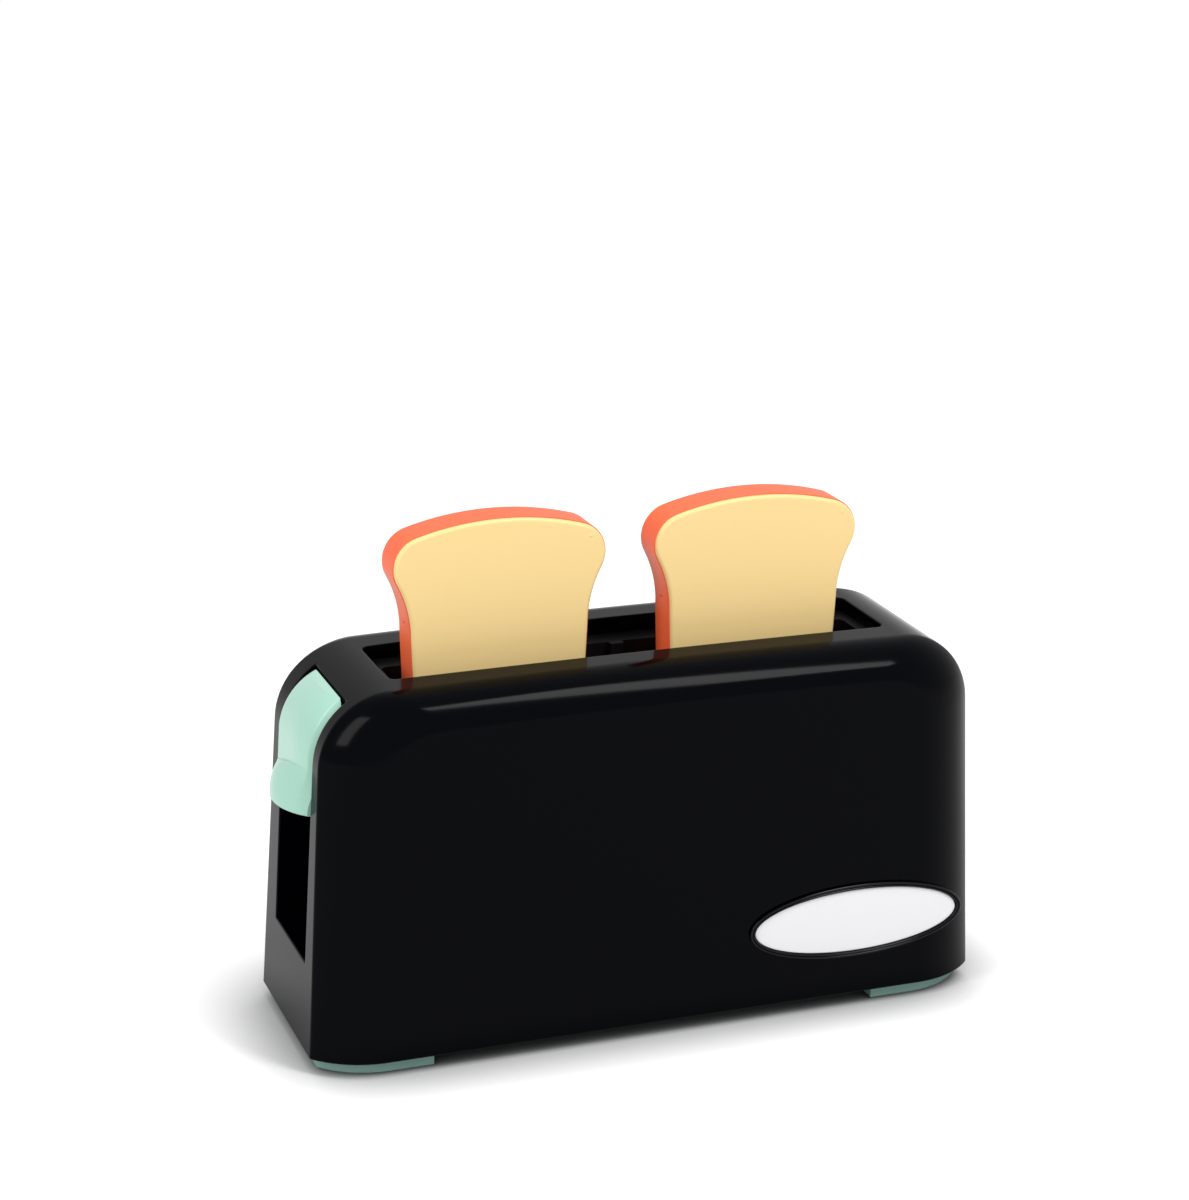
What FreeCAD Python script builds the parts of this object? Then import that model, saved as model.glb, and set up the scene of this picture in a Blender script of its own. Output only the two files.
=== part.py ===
"""Toy toaster with two slices of toast, in millimetres.

+X runs along the toaster, away from the lever, +Y to the back and +Z up. Each piece is drawn about
the middle of the casing. At the end all are moved as one, so that the origin lies on the surface
that the feet stand on, under the middle of the whole toaster with its lip and badge ring.
A moulded casing hangs over a base plate with four feet. The bread well hangs from the casing's roof.
A carriage runs on two guide rods, lifted by a spring on each, and carries the slices and the lever.
"""
import FreeCAD, Part
import math
import os

# Casing: a shell open at the bottom. Its ends and sides lean inwards as they rise.
casing_length = 210.0
casing_depth = 71.7
toaster_height = 113.8
casing_wall = 2.0
end_lean = 3.0
side_lean = 0.5
crown_radius = 3300.0

# The end faces and the top make one flat band. Outside it the shoulders curve to the front and back.
band_depth_low = 53.7
band_lean = 2.0
band_corner_radius = 22.6
shoulder_drop = 10.7
shoulder_plan_radius = 28.4
face_corner_radius = 15.0
outer_steps = 8
inner_steps = 3

# Slot in the top, with a collar that ends on the bread well's ledge.
slot_end_distance = 28.3
slot_depth = 29.2
slot_bulge = 1.2
slot_corner_radius = 2.4
collar_drop = 5.0
collar_wall = 1.6

# Bread well: a ledge round a narrow channel, with ribs between the two slices.
channel_end_step = 3.5
channel_clearance = 0.7
channel_bulge = 1.2
ledge_thickness = 2.0
ledge_overhang = 0.6
well_wall = 1.5
well_mouth_clearance = 3.0
rib_width = 4.1
rib_height = 2.0
ear_post_distance = 12.0
ear_reach = 21.5
ear_thickness = 2.5
ear_drop = 10.3

# Base plate and feet.
foot_height = 4.5
foot_inset = 2.9
foot_length = 32.5
foot_depth = 20.0
foot_edge = 0.6
plate_thickness = 2.0
plate_clearance = 0.4
stiffener_height = 3.0
stiffener_width = 1.6

# Screws, all of one size.
screw_radius = 1.25
screw_length = 12.0
screw_head_radius = 2.7
screw_head_height = 1.8
screw_clearance = 0.35
pilot_clearance = 0.05
pilot_end_gap = 0.5
post_radius = 3.5
post_end_distance = 45.0
post_place_y = 26.5
post_web = 1.5
screw_floor = 2.0
screw_well_height = 4.0
driver_clearance = 0.5

# Guide rods, springs and the buffer washers that stop the carriage at the top.
rod_radius = 2.0
rod_end_distance = 23.0
rod_seat = 1.0
rod_chamfer = 0.4
rod_boss_radius = 4.5
rod_boss_height = 6.0
rod_socket_depth = 9.5
rod_boss_floor = 2.0
bracket_width = 3.0
running_clearance = 0.08
buffer_thickness = 3.0
buffer_radius = 4.2
spring_wire_radius = 0.45
spring_coil_radius = 3.3
spring_turns = 7
spring_runs_per_turn = 10
spring_wire_sides = 6
spring_seat_clearance = 0.05

# Slices of toast: a crust frame with a crumb plate on each face.
slice_height = 69.0
slice_thickness = 13.0
slice_foot_radius = 7.0
slice_side_lean = 1.2
lobe_radius = 9.6
lobe_overhang = 5.1
lobe_height = 56.2
neck_radius = 35.0
crust_wall = 2.2
crumb_thickness = 2.0
crumb_edge = 1.2
crust_dimple_radius = 0.8
crust_dimple_depth = 0.8
crust_dimple_height = 38.5
slice_left_gap = 0.3
slice_right_gap = 3.1
slice_middle_gap = 8.9
slice_rest_depth = 28.4

# Carriage.
platform_thickness = 3.0
platform_gap = 0.9
platform_rib_depth = 8.0
platform_rib_width = 2.0
neck_width = 6.0
neck_depth = 8.0
neck_gap = 0.5
sleeve_radius = 4.5
sleeve_height = 14.0
tongue_width = 5.0
tongue_height = 6.0
tongue_drop = 1.0
tongue_bite = 6.0

# Lever, and the channel in the end of the casing that it runs in.
lever_offset = -1.6
lever_channel_width = 32.6
lever_gap = 1.5
lever_inset = 0.5
lever_proud = 1.8
lever_wall = 2.0
lever_height = 33.5
lever_skirt = 3.1
lever_edge = 1.2
lever_back_gap = 0.8
lever_channel_depth = 14.8
channel_panel_wall = 1.6
channel_floor_height = 31.0
lever_stop_gap = 0.3
slit_clearance = 0.6
lip_reach = 7.0
lip_radius = 20.0
lip_height = 8.6
lip_edge = 3.0
socket_wall = 1.5
socket_clearance = 0.1

# Badge: a bare oval plate in a raised ring low on the front.
badge_end_distance = 43.1
badge_height = 28.7
badge_half_length = 32.9
badge_half_height = 9.9
badge_thickness = 1.2
badge_clearance = 0.15
badge_below_ring = 0.5
ring_width = 1.8
ring_proud = 0.8
badge_peg_radius = 1.3
badge_peg_spacing = 36.0
badge_peg_length = 3.0

# Heights and places that follow from the sizes above.
lean = math.radians(end_lean)
slot_length = casing_length - 2 * slot_end_distance
channel_half_length = slot_length / 2 - channel_end_step
post_place_x = casing_length / 2 - post_end_distance
ear_place = post_place_x - ear_post_distance
rod_place = casing_length / 2 - rod_end_distance
badge_place = casing_length / 2 - badge_end_distance
ledge_top = toaster_height - collar_drop
ledge_low = ledge_top - ledge_thickness
platform_top = toaster_height - slice_rest_depth
channel_half_depth = slice_thickness / 2 + channel_clearance
tongue_top = platform_top - tongue_drop
tongue_low = tongue_top - tongue_height
lever_low = tongue_low - lever_skirt
lever_travel = lever_low - channel_floor_height - lever_stop_gap
well_low = platform_top - platform_thickness - lever_travel + well_mouth_clearance
plate_top = foot_height + plate_thickness
screw_well_top = plate_top + screw_well_height
rod_low = foot_height + plate_thickness + rod_seat
spring_low = plate_top + rod_boss_height
sleeve_low = platform_top - sleeve_height
upper_boss_low = platform_top + buffer_thickness
rod_high = upper_boss_low + rod_socket_depth
ear_low = ledge_low - ear_drop
ear_top = ear_low + ear_thickness
slice_reach = (channel_half_length - slice_left_gap - slice_middle_gap) / 2
slice_half_width = slice_reach - lobe_overhang
lobe_place = slice_reach - lobe_radius
slice_left_place = slice_reach + slice_left_gap - channel_half_length
slice_right_place = channel_half_length - slice_reach - slice_right_gap
ring_front = -casing_depth / 2 - ring_proud
badge_front = ring_front + badge_below_ring
badge_back = badge_front + badge_thickness
ear_screw_bite = screw_length - ear_thickness
base_screw_bite = screw_length - screw_floor
lever_half_width = lever_channel_width / 2 - lever_gap
lever_high = lever_low + lever_height
lever_face = casing_length / 2 - math.tan(lean) * (lever_low - foot_height)
lip_front = lever_face + lip_reach
channel_panel_place = casing_length / 2 - lever_channel_depth
lever_back = -channel_panel_place - lever_back_gap
tongue_end = tongue_bite - lever_back
middle_x = (casing_length / 2 - lip_front) / 2
middle_y = (casing_depth / 2 + ring_front) / 2


def vec(x, y, z):
    return FreeCAD.Vector(x, y, z)


def block(x_range, y_range, z_range):
    """A box between two places along each axis."""
    low = [min(r) for r in (x_range, y_range, z_range)]
    size = [abs(r[1] - r[0]) for r in (x_range, y_range, z_range)]
    return Part.makeBox(*size, vec(*low))


def post(radius, low, high, x, y):
    """An upright cylinder."""
    return Part.makeCylinder(radius, high - low, vec(x, y, low))


def corners(x, y):
    """The four places at plus and minus x and y."""
    return [(sx * x, sy * y) for sx in (-1, 1) for sy in (-1, 1)]


def joined(solids):
    """One solid from several that meet."""
    return solids[0].fuse(solids[1:]).removeSplitter()


def band_profile(end_inset, top_inset, radius, low):
    """Half outline of the flat band, as (x, z): bottom, end tangent, corner middle, crown tangent, crown."""
    half = casing_length / 2 - end_inset
    along = (-math.sin(lean), math.cos(lean))
    start = (half - radius * math.cos(lean), foot_height - radius * math.sin(lean))
    centre_z = toaster_height - top_inset - crown_radius
    off = (start[0], start[1] - centre_z)
    dot = off[0] * along[0] + off[1] * along[1]
    reach = math.sqrt(dot ** 2 - off[0] ** 2 - off[1] ** 2 + (crown_radius - radius) ** 2) - dot
    corner = (start[0] + reach * along[0], start[1] + reach * along[1])
    share = crown_radius / (crown_radius - radius)
    crown_tangent = (corner[0] * share, centre_z + (corner[1] - centre_z) * share)
    end_tangent = (corner[0] + radius * math.cos(lean), corner[1] + radius * math.sin(lean))
    turn_low = math.atan2(end_tangent[1] - corner[1], end_tangent[0] - corner[0])
    turn_high = math.atan2(crown_tangent[1] - corner[1], crown_tangent[0] - corner[0])
    turn = (turn_low + turn_high) / 2
    middle = (corner[0] + radius * math.cos(turn), corner[1] + radius * math.sin(turn))
    bottom = (half - math.tan(lean) * (low - foot_height), low)
    return [bottom, end_tangent, middle, crown_tangent, (0.0, toaster_height - top_inset)]


def band_wire(profile, depth_at):
    """The whole outline, right half then left, in the plane that depth_at gives."""
    right = [vec(x, depth_at(z), z) for x, z in profile]
    left = [vec(-x, depth_at(z), z) for x, z in profile]
    edges = [
        Part.LineSegment(left[0], right[0]),
        Part.LineSegment(right[0], right[1]),
        Part.Arc(right[1], right[2], right[3]),
        Part.Arc(right[3], right[4], left[3]),
        Part.Arc(left[3], left[2], left[1]),
        Part.LineSegment(left[1], left[0]),
    ]
    return Part.Wire([e.toShape() for e in edges])


def section(side, turn, inset, low):
    """Outline of the casing's form at one turn of its shoulder: 0 is the band's edge, 90 degrees the flat face."""
    share = math.sin(turn)
    drop = 1 - math.cos(turn)
    band_low = band_depth_low / 2 - inset
    face_low = casing_depth / 2 - inset
    width = face_low - band_low
    radius = shoulder_plan_radius - inset
    plan_run = math.sqrt(2 * radius * width - width ** 2)
    short_run = math.sqrt(radius ** 2 - (radius - width * (1 - share)) ** 2)

    def depth_at(z):
        rise = z - foot_height
        band = band_low - math.tan(math.radians(band_lean)) * rise
        face = face_low - math.tan(math.radians(side_lean)) * rise
        return side * (band + share * (face - band))

    profile = band_profile(
        inset / math.cos(lean) + plan_run - short_run,
        inset + shoulder_drop * drop,
        band_corner_radius - inset - (band_corner_radius - face_corner_radius) * drop,
        low,
    )
    return band_wire(profile, depth_at)


def form(inset, low, steps):
    """The casing's outer form, taken in by inset all round, cut off flat at the height low."""
    turns = [math.pi / 2 * step / steps for step in range(steps + 1)]
    under = low - 1
    band = Part.makeLoft([section(side, 0.0, inset, under) for side in (-1, 1)], True, True)
    shoulders = [Part.makeLoft([section(side, t, inset, under) for t in turns], True, True) for side in (-1, 1)]
    x_range = (-casing_length, casing_length)
    y_range = (-casing_depth, casing_depth)
    return joined([band] + shoulders).common(block(x_range, y_range, (low, 2 * toaster_height)))


def long_outline(half_length, half_depth, bulge, corner, z):
    """A long opening: straight ends, gently bowed long sides and rounded corners."""
    x, y = half_length, half_depth
    ends = [vec(-x + corner, -y, z), vec(x - corner, -y, z), vec(x - corner, y, z), vec(-x + corner, y, z)]
    slant = corner * (1 - math.sqrt(0.5))
    edges = [
        Part.Arc(ends[0], vec(0, -y - bulge, z), ends[1]),
        Part.Arc(ends[1], vec(x - slant, -y + slant, z), vec(x, -y + corner, z)),
        Part.LineSegment(vec(x, -y + corner, z), vec(x, y - corner, z)),
        Part.Arc(vec(x, y - corner, z), vec(x - slant, y - slant, z), ends[2]),
        Part.Arc(ends[2], vec(0, y + bulge, z), ends[3]),
        Part.Arc(ends[3], vec(-x + slant, y - slant, z), vec(-x, y - corner, z)),
        Part.LineSegment(vec(-x, y - corner, z), vec(-x, -y + corner, z)),
        Part.Arc(vec(-x, -y + corner, z), vec(-x + slant, -y + slant, z), ends[0]),
    ]
    return Part.Face(Part.Wire([e.toShape() for e in edges]))


def slot_prism(grow, low, high):
    """The slot's opening, grown by a wall, between two heights."""
    face = long_outline(
        slot_length / 2 + grow, slot_depth / 2 + grow, slot_bulge, slot_corner_radius + grow, low
    )
    return face.extrude(vec(0, 0, high - low))


def channel_prism(grow, low, high):
    """The bread well's channel, grown by a wall, between two heights."""
    face = long_outline(
        channel_half_length + grow, channel_half_depth + grow, channel_bulge, slot_corner_radius + grow, low
    )
    return face.extrude(vec(0, 0, high - low))


def oval(half_length, half_height, front, back):
    """An upright oval on the badge's place, from the depth front to the depth back."""
    ellipse = Part.Ellipse(vec(0, 0, 0), half_length, half_height)
    face = Part.Face(Part.Wire([ellipse.toShape()]))
    face.rotate(vec(0, 0, 0), vec(1, 0, 0), 90)
    face.translate(vec(badge_place, front, badge_height))
    return face.extrude(vec(0, back - front, 0))


def badge_pegs(radius, length):
    """Pegs on the back of the badge, or the holes that they go through."""
    places = [badge_place + side * badge_peg_spacing / 2 for side in (-1, 1)]
    return [Part.makeCylinder(radius, length, vec(x, badge_back, badge_height), vec(0, 1, 0)) for x in places]


def badge_plate():
    plate = oval(badge_half_length, badge_half_height, badge_front, badge_back)
    return joined([plate] + badge_pegs(badge_peg_radius, badge_peg_length))


def lever_channel(grow, low, high, inner):
    """The upright channel for the lever, between two heights, from outside the casing in to the place inner."""
    half = lever_channel_width / 2 + grow
    return block((-casing_length, -inner), (lever_offset - half, lever_offset + half), (low, high))


def casing():
    """Outer shell with its collar, lever channel, screw posts and bosses, all moulded in one."""
    over = toaster_height + casing_wall
    inner = form(casing_wall, foot_height - casing_wall, inner_steps)
    shell = form(0, foot_height, outer_steps).fuse(
        oval(badge_half_length + ring_width, badge_half_height + ring_width, ring_front, -casing_depth / 4)
    )
    shell = shell.cut(inner)
    inside = [slot_prism(collar_wall, ledge_top, over)]
    inside.append(
        lever_channel(
            channel_panel_wall, channel_floor_height - channel_panel_wall, over,
            channel_panel_place - channel_panel_wall,
        )
    )
    for x, y in corners(post_place_x, post_place_y):
        side = math.copysign(casing_depth, y)
        inside.append(post(post_radius, screw_well_top, over, x, y))
        inside.append(block((x - post_web / 2, x + post_web / 2), (y, side), (screw_well_top, over)))
    for x, y in corners(ear_place, ear_reach):
        inside.append(post(post_radius, ear_top, over, x, y))
    inside = inside[0].fuse(inside[1:]).common(form(casing_wall / 2, foot_height, inner_steps))
    voids = [slot_prism(0, ledge_top - 1, over)]
    voids.append(lever_channel(0, channel_floor_height, over, channel_panel_place))
    slit = tongue_width / 2 + slit_clearance
    voids.append(
        block(
            (-channel_panel_place - 1, -channel_panel_place + channel_panel_wall + 1),
            (lever_offset - slit, lever_offset + slit),
            (tongue_low - lever_travel - slit_clearance, tongue_top + slit_clearance),
        )
    )
    pilot = screw_radius + pilot_clearance
    for x, y in corners(post_place_x, post_place_y):
        voids.append(post(pilot, screw_well_top - 1, screw_well_top + base_screw_bite + pilot_end_gap, x, y))
    for x, y in corners(ear_place, ear_reach):
        voids.append(post(pilot, ear_top - 1, ear_top + ear_screw_bite + pilot_end_gap, x, y))
    voids.append(
        oval(
            badge_half_length + badge_clearance, badge_half_height + badge_clearance, ring_front - 1, badge_back
        )
    )
    voids += badge_pegs(badge_peg_radius + badge_clearance, badge_peg_length)
    return shell.fuse(inside).cut(voids).removeSplitter()


def bread_well():
    """Ledge and channel under the slot, with ears to screw it up and brackets for the rods' upper ends."""
    solids = [slot_prism(collar_wall + ledge_overhang, ledge_low, ledge_top)]
    solids.append(channel_prism(well_wall, well_low, ledge_low))
    for x, y in corners(ear_place, ear_reach):
        solids.append(block((x - post_radius, x + post_radius), (0, y), (ear_low, ear_top)))
        solids.append(post(post_radius, ear_low, ear_top, x, y))
    boss_top = rod_high + rod_boss_floor
    for side in (-1, 1):
        x_range = (side * channel_half_length, side * rod_place)
        solids.append(block(x_range, (-bracket_width / 2, bracket_width / 2), (upper_boss_low, boss_top)))
        solids.append(post(rod_boss_radius, upper_boss_low, boss_top, side * rod_place, 0))
    well = joined(solids).cut(channel_prism(0, well_low - 1, ledge_top + 1))
    for side in (-1, 1):
        y_range = (side * (channel_half_depth + channel_bulge + well_wall / 2),
                   side * (channel_half_depth + channel_bulge - rib_height))
        well = well.fuse(block((-rib_width / 2, rib_width / 2), y_range, (well_low, ledge_top)))
    neck_slot = neck_width / 2 + neck_gap
    voids = [
        block(
            (-channel_half_length - 2 * well_wall, channel_half_length + 2 * well_wall),
            (-neck_slot, neck_slot),
            (well_low - 1, platform_top + neck_gap),
        )
    ]
    for side in (-1, 1):
        voids.append(
            post(rod_radius + pilot_clearance, upper_boss_low - 1, rod_high, side * rod_place, 0)
        )
    for x, y in corners(ear_place, ear_reach):
        voids.append(post(screw_radius + screw_clearance, ear_low - 1, ear_top + 1, x, y))
    return well.cut(voids).removeSplitter()


def base_plate():
    """Plate that closes the casing, with the feet, screw wells and rod bosses moulded on it."""
    plate = form(casing_wall + plate_clearance, foot_height, inner_steps).common(
        block((-casing_length, casing_length), (-casing_depth, casing_depth), (foot_height, plate_top))
    )
    foot_form = form(foot_inset, 0, outer_steps)
    feet = []
    for x, y in corners(casing_length / 2 - foot_inset, casing_depth / 2 - foot_inset):
        x_range = (x - math.copysign(foot_length, x), 2 * x)
        y_range = (y - math.copysign(foot_depth, y), 2 * y)
        foot = foot_form.common(block(x_range, y_range, (0, foot_height)))
        low_edges = [e for e in foot.Edges if e.BoundBox.ZMax < foot_height / 10]
        feet.append(foot.makeChamfer(foot_edge, low_edges))
    solids = [plate] + feet
    for x, y in corners(post_place_x, post_place_y):
        solids.append(post(post_radius + 1, plate_top, screw_well_top, x, y))
    for side in (-1, 1):
        solids.append(post(rod_boss_radius, plate_top, spring_low, side * rod_place, 0))
    low = plate_top
    high = plate_top + stiffener_height
    width = stiffener_width / 2
    solids.append(block((-rod_place, rod_place), (-width, width), (low, high)))
    for side in (-1, 1):
        solids.append(block((side * post_place_x - width, side * post_place_x + width),
                            (-post_place_y, post_place_y), (low, high)))
    voids = []
    for x, y in corners(post_place_x, post_place_y):
        voids.append(post(screw_head_radius + driver_clearance, 0, screw_well_top - screw_floor, x, y))
        voids.append(post(screw_radius + screw_clearance, 0, screw_well_top + 1, x, y))
    for side in (-1, 1):
        voids.append(post(rod_radius + pilot_clearance, rod_low, spring_low + 1, side * rod_place, 0))
    return joined(solids).cut(voids)


def screw(x, y, seat):
    """A cheese-head screw with a blunt end that stands up from under its seat."""
    head = post(screw_head_radius, seat - screw_head_height, seat, x, y)
    return joined([head, post(screw_radius, seat, seat + screw_length, x, y)])


def base_screws():
    seat = screw_well_top - screw_floor
    return Part.makeCompound([screw(x, y, seat) for x, y in corners(post_place_x, post_place_y)])


def well_screws():
    return Part.makeCompound([screw(x, y, ear_low) for x, y in corners(ear_place, ear_reach)])


def guide_rod(side):
    rod = post(rod_radius, rod_low, rod_high, side * rod_place, 0)
    ends = [e for e in rod.Edges if e.BoundBox.ZLength < rod_chamfer]
    return rod.makeChamfer(rod_chamfer, ends)


def buffer_washer(side):
    """Rubber ring on the rod that the carriage stops against."""
    ring = post(buffer_radius, platform_top, upper_boss_low, side * rod_place, 0)
    return ring.cut(post(rod_radius + pilot_clearance, platform_top, upper_boss_low, side * rod_place, 0))


def spring(side):
    """Compression spring round the rod, from the base plate's boss up to the sleeve."""
    low = spring_low + spring_wire_radius + spring_seat_clearance
    high = sleeve_low - spring_wire_radius - spring_seat_clearance
    runs = spring_turns * spring_runs_per_turn
    points = []
    for run in range(runs + 1):
        turn = 2 * math.pi * run / spring_runs_per_turn
        x = side * rod_place + spring_coil_radius * math.cos(turn)
        points.append(vec(x, spring_coil_radius * math.sin(turn), low + (high - low) * run / runs))
    wire = Part.makeCircle(spring_wire_radius, points[0], points[1] - points[0])
    sides = [wire.valueAt(wire.LastParameter * k / spring_wire_sides) for k in range(spring_wire_sides + 1)]
    return Part.makePolygon(points).makePipeShell([Part.makePolygon(sides)], True, False, 1)


def carriage():
    """Lifting beam with its sleeves on the rods and the tongue that the lever is pushed on to."""
    low = platform_top - platform_thickness
    half_length = channel_half_length - platform_gap
    half_depth = channel_half_depth - platform_gap
    solids = [block((-half_length, half_length), (-half_depth, half_depth), (low, platform_top))]
    rib = platform_rib_width / 2
    solids.append(block((-half_length, half_length), (-rib, rib), (low - platform_rib_depth, low)))
    neck = neck_width / 2
    solids.append(block((-rod_place, rod_place), (-neck, neck), (platform_top - neck_depth, platform_top)))
    for side in (-1, 1):
        solids.append(post(sleeve_radius, sleeve_low, platform_top, side * rod_place, 0))
    solids.append(
        block(
            (-tongue_end, -rod_place),
            (lever_offset - tongue_width / 2, lever_offset + tongue_width / 2),
            (tongue_low, tongue_top),
        )
    )
    notch = rib_width / 2 + platform_gap
    rib_face = channel_half_depth + channel_bulge - rib_height - platform_gap
    voids = []
    for side in (-1, 1):
        voids.append(post(rod_radius + running_clearance, sleeve_low - 1, platform_top + 1, side * rod_place, 0))
        voids.append(
            block((-notch, notch), (side * rib_face, side * casing_depth), (low - 1, platform_top + 1))
        )
    return joined(solids).cut(voids)


def lever_drop(offset):
    """How far the cover's face lies inside the casing's end, at a distance from the lever's middle."""
    drop = (lever_proud + lever_inset) * (offset / lever_half_width) ** 2 - lever_proud
    round_run = max(0.0, offset - lever_half_width + lever_edge)
    return drop + lever_edge - math.sqrt(lever_edge ** 2 - round_run ** 2)


def lever_cover(inset, offsets, depth):
    """Crowned cover that follows the casing's end and corner, taken in by inset, back to the place depth."""
    wires = []
    for offset in [-o for o in offsets] + [0.0] + offsets[::-1]:
        drop = inset + lever_drop(abs(offset))
        profile = band_profile(drop / math.cos(lean), drop, band_corner_radius - drop, foot_height)
        wires.append(band_wire(profile, lambda z: lever_offset + offset))
    y_range = (-casing_depth, casing_depth)
    z_range = (lever_low + inset, lever_high - inset)
    return Part.makeLoft(wires, True, True).common(block((-casing_length, depth), y_range, z_range))


def lever_lip():
    """Bowed lip that the finger presses: flat below, rounded off above."""
    lip = post(lip_radius, lever_low, lever_low + lip_height, lip_radius - lip_front, lever_offset)
    top_edges = [e for e in lip.Edges if e.BoundBox.ZMin > lever_low + lip_height / 2]
    lip = lip.makeChamfer(lip_edge, top_edges)
    y_range = (lever_offset - lever_half_width, lever_offset + lever_half_width)
    return lip.common(block((-casing_length, lever_back - lever_wall), y_range, (0, toaster_height)))


def lever():
    """Thumb lever: the hollow cover, its lip, and a socket for the carriage's tongue."""
    half = lever_half_width
    flat = half - lever_edge
    slant = half - lever_edge * (1 - math.sqrt(0.5))
    outer = lever_cover(0, [half, slant, flat, flat / 2], lever_back)
    hollow = lever_cover(lever_wall, [half - lever_wall, flat / 2], lever_back + 1)
    tongue_half = tongue_width / 2 + socket_clearance
    socket = block(
        (-tongue_end - socket_wall, lever_back),
        (lever_offset - tongue_half - socket_wall, lever_offset + tongue_half + socket_wall),
        (tongue_low - socket_clearance - socket_wall, tongue_top + socket_clearance + socket_wall),
    )
    pocket = block(
        (-tongue_end - socket_clearance, lever_back + 1),
        (lever_offset - tongue_half, lever_offset + tongue_half),
        (tongue_low - socket_clearance, tongue_top + socket_clearance),
    )
    return outer.fuse(lever_lip()).cut(hollow).fuse(socket).cut(pocket).removeSplitter()


def slice_outline(inset, y):
    """The toast's outline taken in by inset, on the plane y, with its foot at height 0 and its middle at x 0."""
    crown = ((slice_height - lobe_height) ** 2 + lobe_place ** 2 - lobe_radius ** 2) / (
        2 * (slice_height - lobe_height - lobe_radius)
    )
    lobe = lobe_radius - inset
    neck = neck_radius + inset
    neck_x = slice_half_width + neck_radius
    neck_drop = math.sqrt((lobe_radius + neck_radius) ** 2 - (neck_x - lobe_place) ** 2)
    neck_z = lobe_height - neck_drop
    crown_z = slice_height - crown
    reach = crown - inset
    share = reach / (crown - lobe_radius)
    crown_end = (lobe_place * share, crown_z + (lobe_height - crown_z) * share)
    tangent = lobe / (lobe_radius + neck_radius)
    lobe_end = (lobe_place + (neck_x - lobe_place) * tangent, lobe_height - neck_drop * tangent)
    top_turn = math.atan2(crown_end[1] - lobe_height, crown_end[0] - lobe_place)
    low_turn = math.atan2(lobe_end[1] - lobe_height, lobe_end[0] - lobe_place)
    lobe_mid = (top_turn + low_turn) / 2
    lobe_middle = (lobe_place + lobe * math.cos(lobe_mid), lobe_height + lobe * math.sin(lobe_mid))
    start_turn = math.atan2(lobe_end[1] - neck_z, lobe_end[0] - neck_x)
    neck_mid = (start_turn + math.pi) / 2
    neck_middle = (neck_x + neck * math.cos(neck_mid), neck_z + neck * math.sin(neck_mid))
    neck_end = (neck_x - neck, neck_z)
    foot_radius = slice_foot_radius - inset
    foot_x = slice_half_width - slice_side_lean - inset
    foot_side = (foot_x, slice_foot_radius)
    foot_slant = foot_radius * (1 - math.sqrt(0.5))
    foot_middle = (foot_x - foot_slant, inset + foot_slant)
    foot_low = (foot_x - foot_radius, inset)
    names = [crown_end, lobe_middle, lobe_end, neck_middle, neck_end, foot_side, foot_middle, foot_low]
    right = [vec(x, y, z) for x, z in names]
    left = [vec(-x, y, z) for x, z in names]
    edges = [
        Part.Arc(left[0], vec(0, y, slice_height - inset), right[0]),
        Part.Arc(right[0], right[1], right[2]),
        Part.Arc(right[2], right[3], right[4]),
        Part.LineSegment(right[4], right[5]),
        Part.Arc(right[5], right[6], right[7]),
        Part.LineSegment(right[7], left[7]),
        Part.Arc(left[7], left[6], left[5]),
        Part.LineSegment(left[5], left[4]),
        Part.Arc(left[4], left[3], left[2]),
        Part.Arc(left[2], left[1], left[0]),
    ]
    return Part.Face(Part.Wire([e.toShape() for e in edges]))


def slice_crust(place):
    """Orange frame of the toast, with a small dimple in each side."""
    half = slice_thickness / 2 - crumb_thickness
    frame = slice_outline(0, -half).extrude(vec(0, 2 * half, 0))
    frame = frame.cut(slice_outline(crust_wall, -half).extrude(vec(0, 2 * half, 0)))
    for side in (-1, 1):
        start = vec(side * (slice_half_width + 1), 0, crust_dimple_height)
        reach = 1 + crust_dimple_depth
        frame = frame.cut(Part.makeCylinder(crust_dimple_radius, reach, start, vec(-side, 0, 0)))
    frame.translate(vec(place, 0, platform_top))
    return frame


def slice_crumb(place, side):
    """Pale face of the toast, with its outer edge taken off."""
    inner = side * (slice_thickness / 2 - crumb_thickness)
    plate = slice_outline(0, inner).extrude(vec(0, side * crumb_thickness, 0))
    outer = side * slice_thickness / 2
    edges = [e for e in plate.Edges if abs(e.CenterOfMass.y - outer) < 0.01]
    plate = plate.makeChamfer(crumb_edge, edges)
    plate.translate(vec(place, 0, platform_top))
    return plate


def main():
    nodes = {
        "casing": casing(),
        "badge_plate": badge_plate(),
        "bread_well": bread_well(),
        "base_plate": base_plate(),
        "base_screws": base_screws(),
        "well_screws": well_screws(),
        "carriage": carriage(),
        "lever": lever(),
    }
    for name, side in (("left", -1), ("right", 1)):
        nodes["guide_rod_" + name] = guide_rod(side)
        nodes["buffer_washer_" + name] = buffer_washer(side)
        nodes["spring_" + name] = spring(side)
    for name, place in (("left", slice_left_place), ("right", slice_right_place)):
        nodes["slice_" + name + "_crust"] = slice_crust(place)
        nodes["slice_" + name + "_crumb_front"] = slice_crumb(place, -1)
        nodes["slice_" + name + "_crumb_back"] = slice_crumb(place, 1)
    os.makedirs("parts", exist_ok=True)
    for name, shape in nodes.items():
        shape.translate(vec(-middle_x, -middle_y, 0))
        shape.exportStep("parts/" + name + ".step")


main()
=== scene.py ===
"""Toy toaster with two slices of toast, dressed for the studio.

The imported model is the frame. Sizes in the sections are in millimetres from the middle of the
casing on the floor, and at() turns them into places in the frame, in metres.
"""
import math

import bmesh
import bpy
from mathutils import Matrix, Vector


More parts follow.
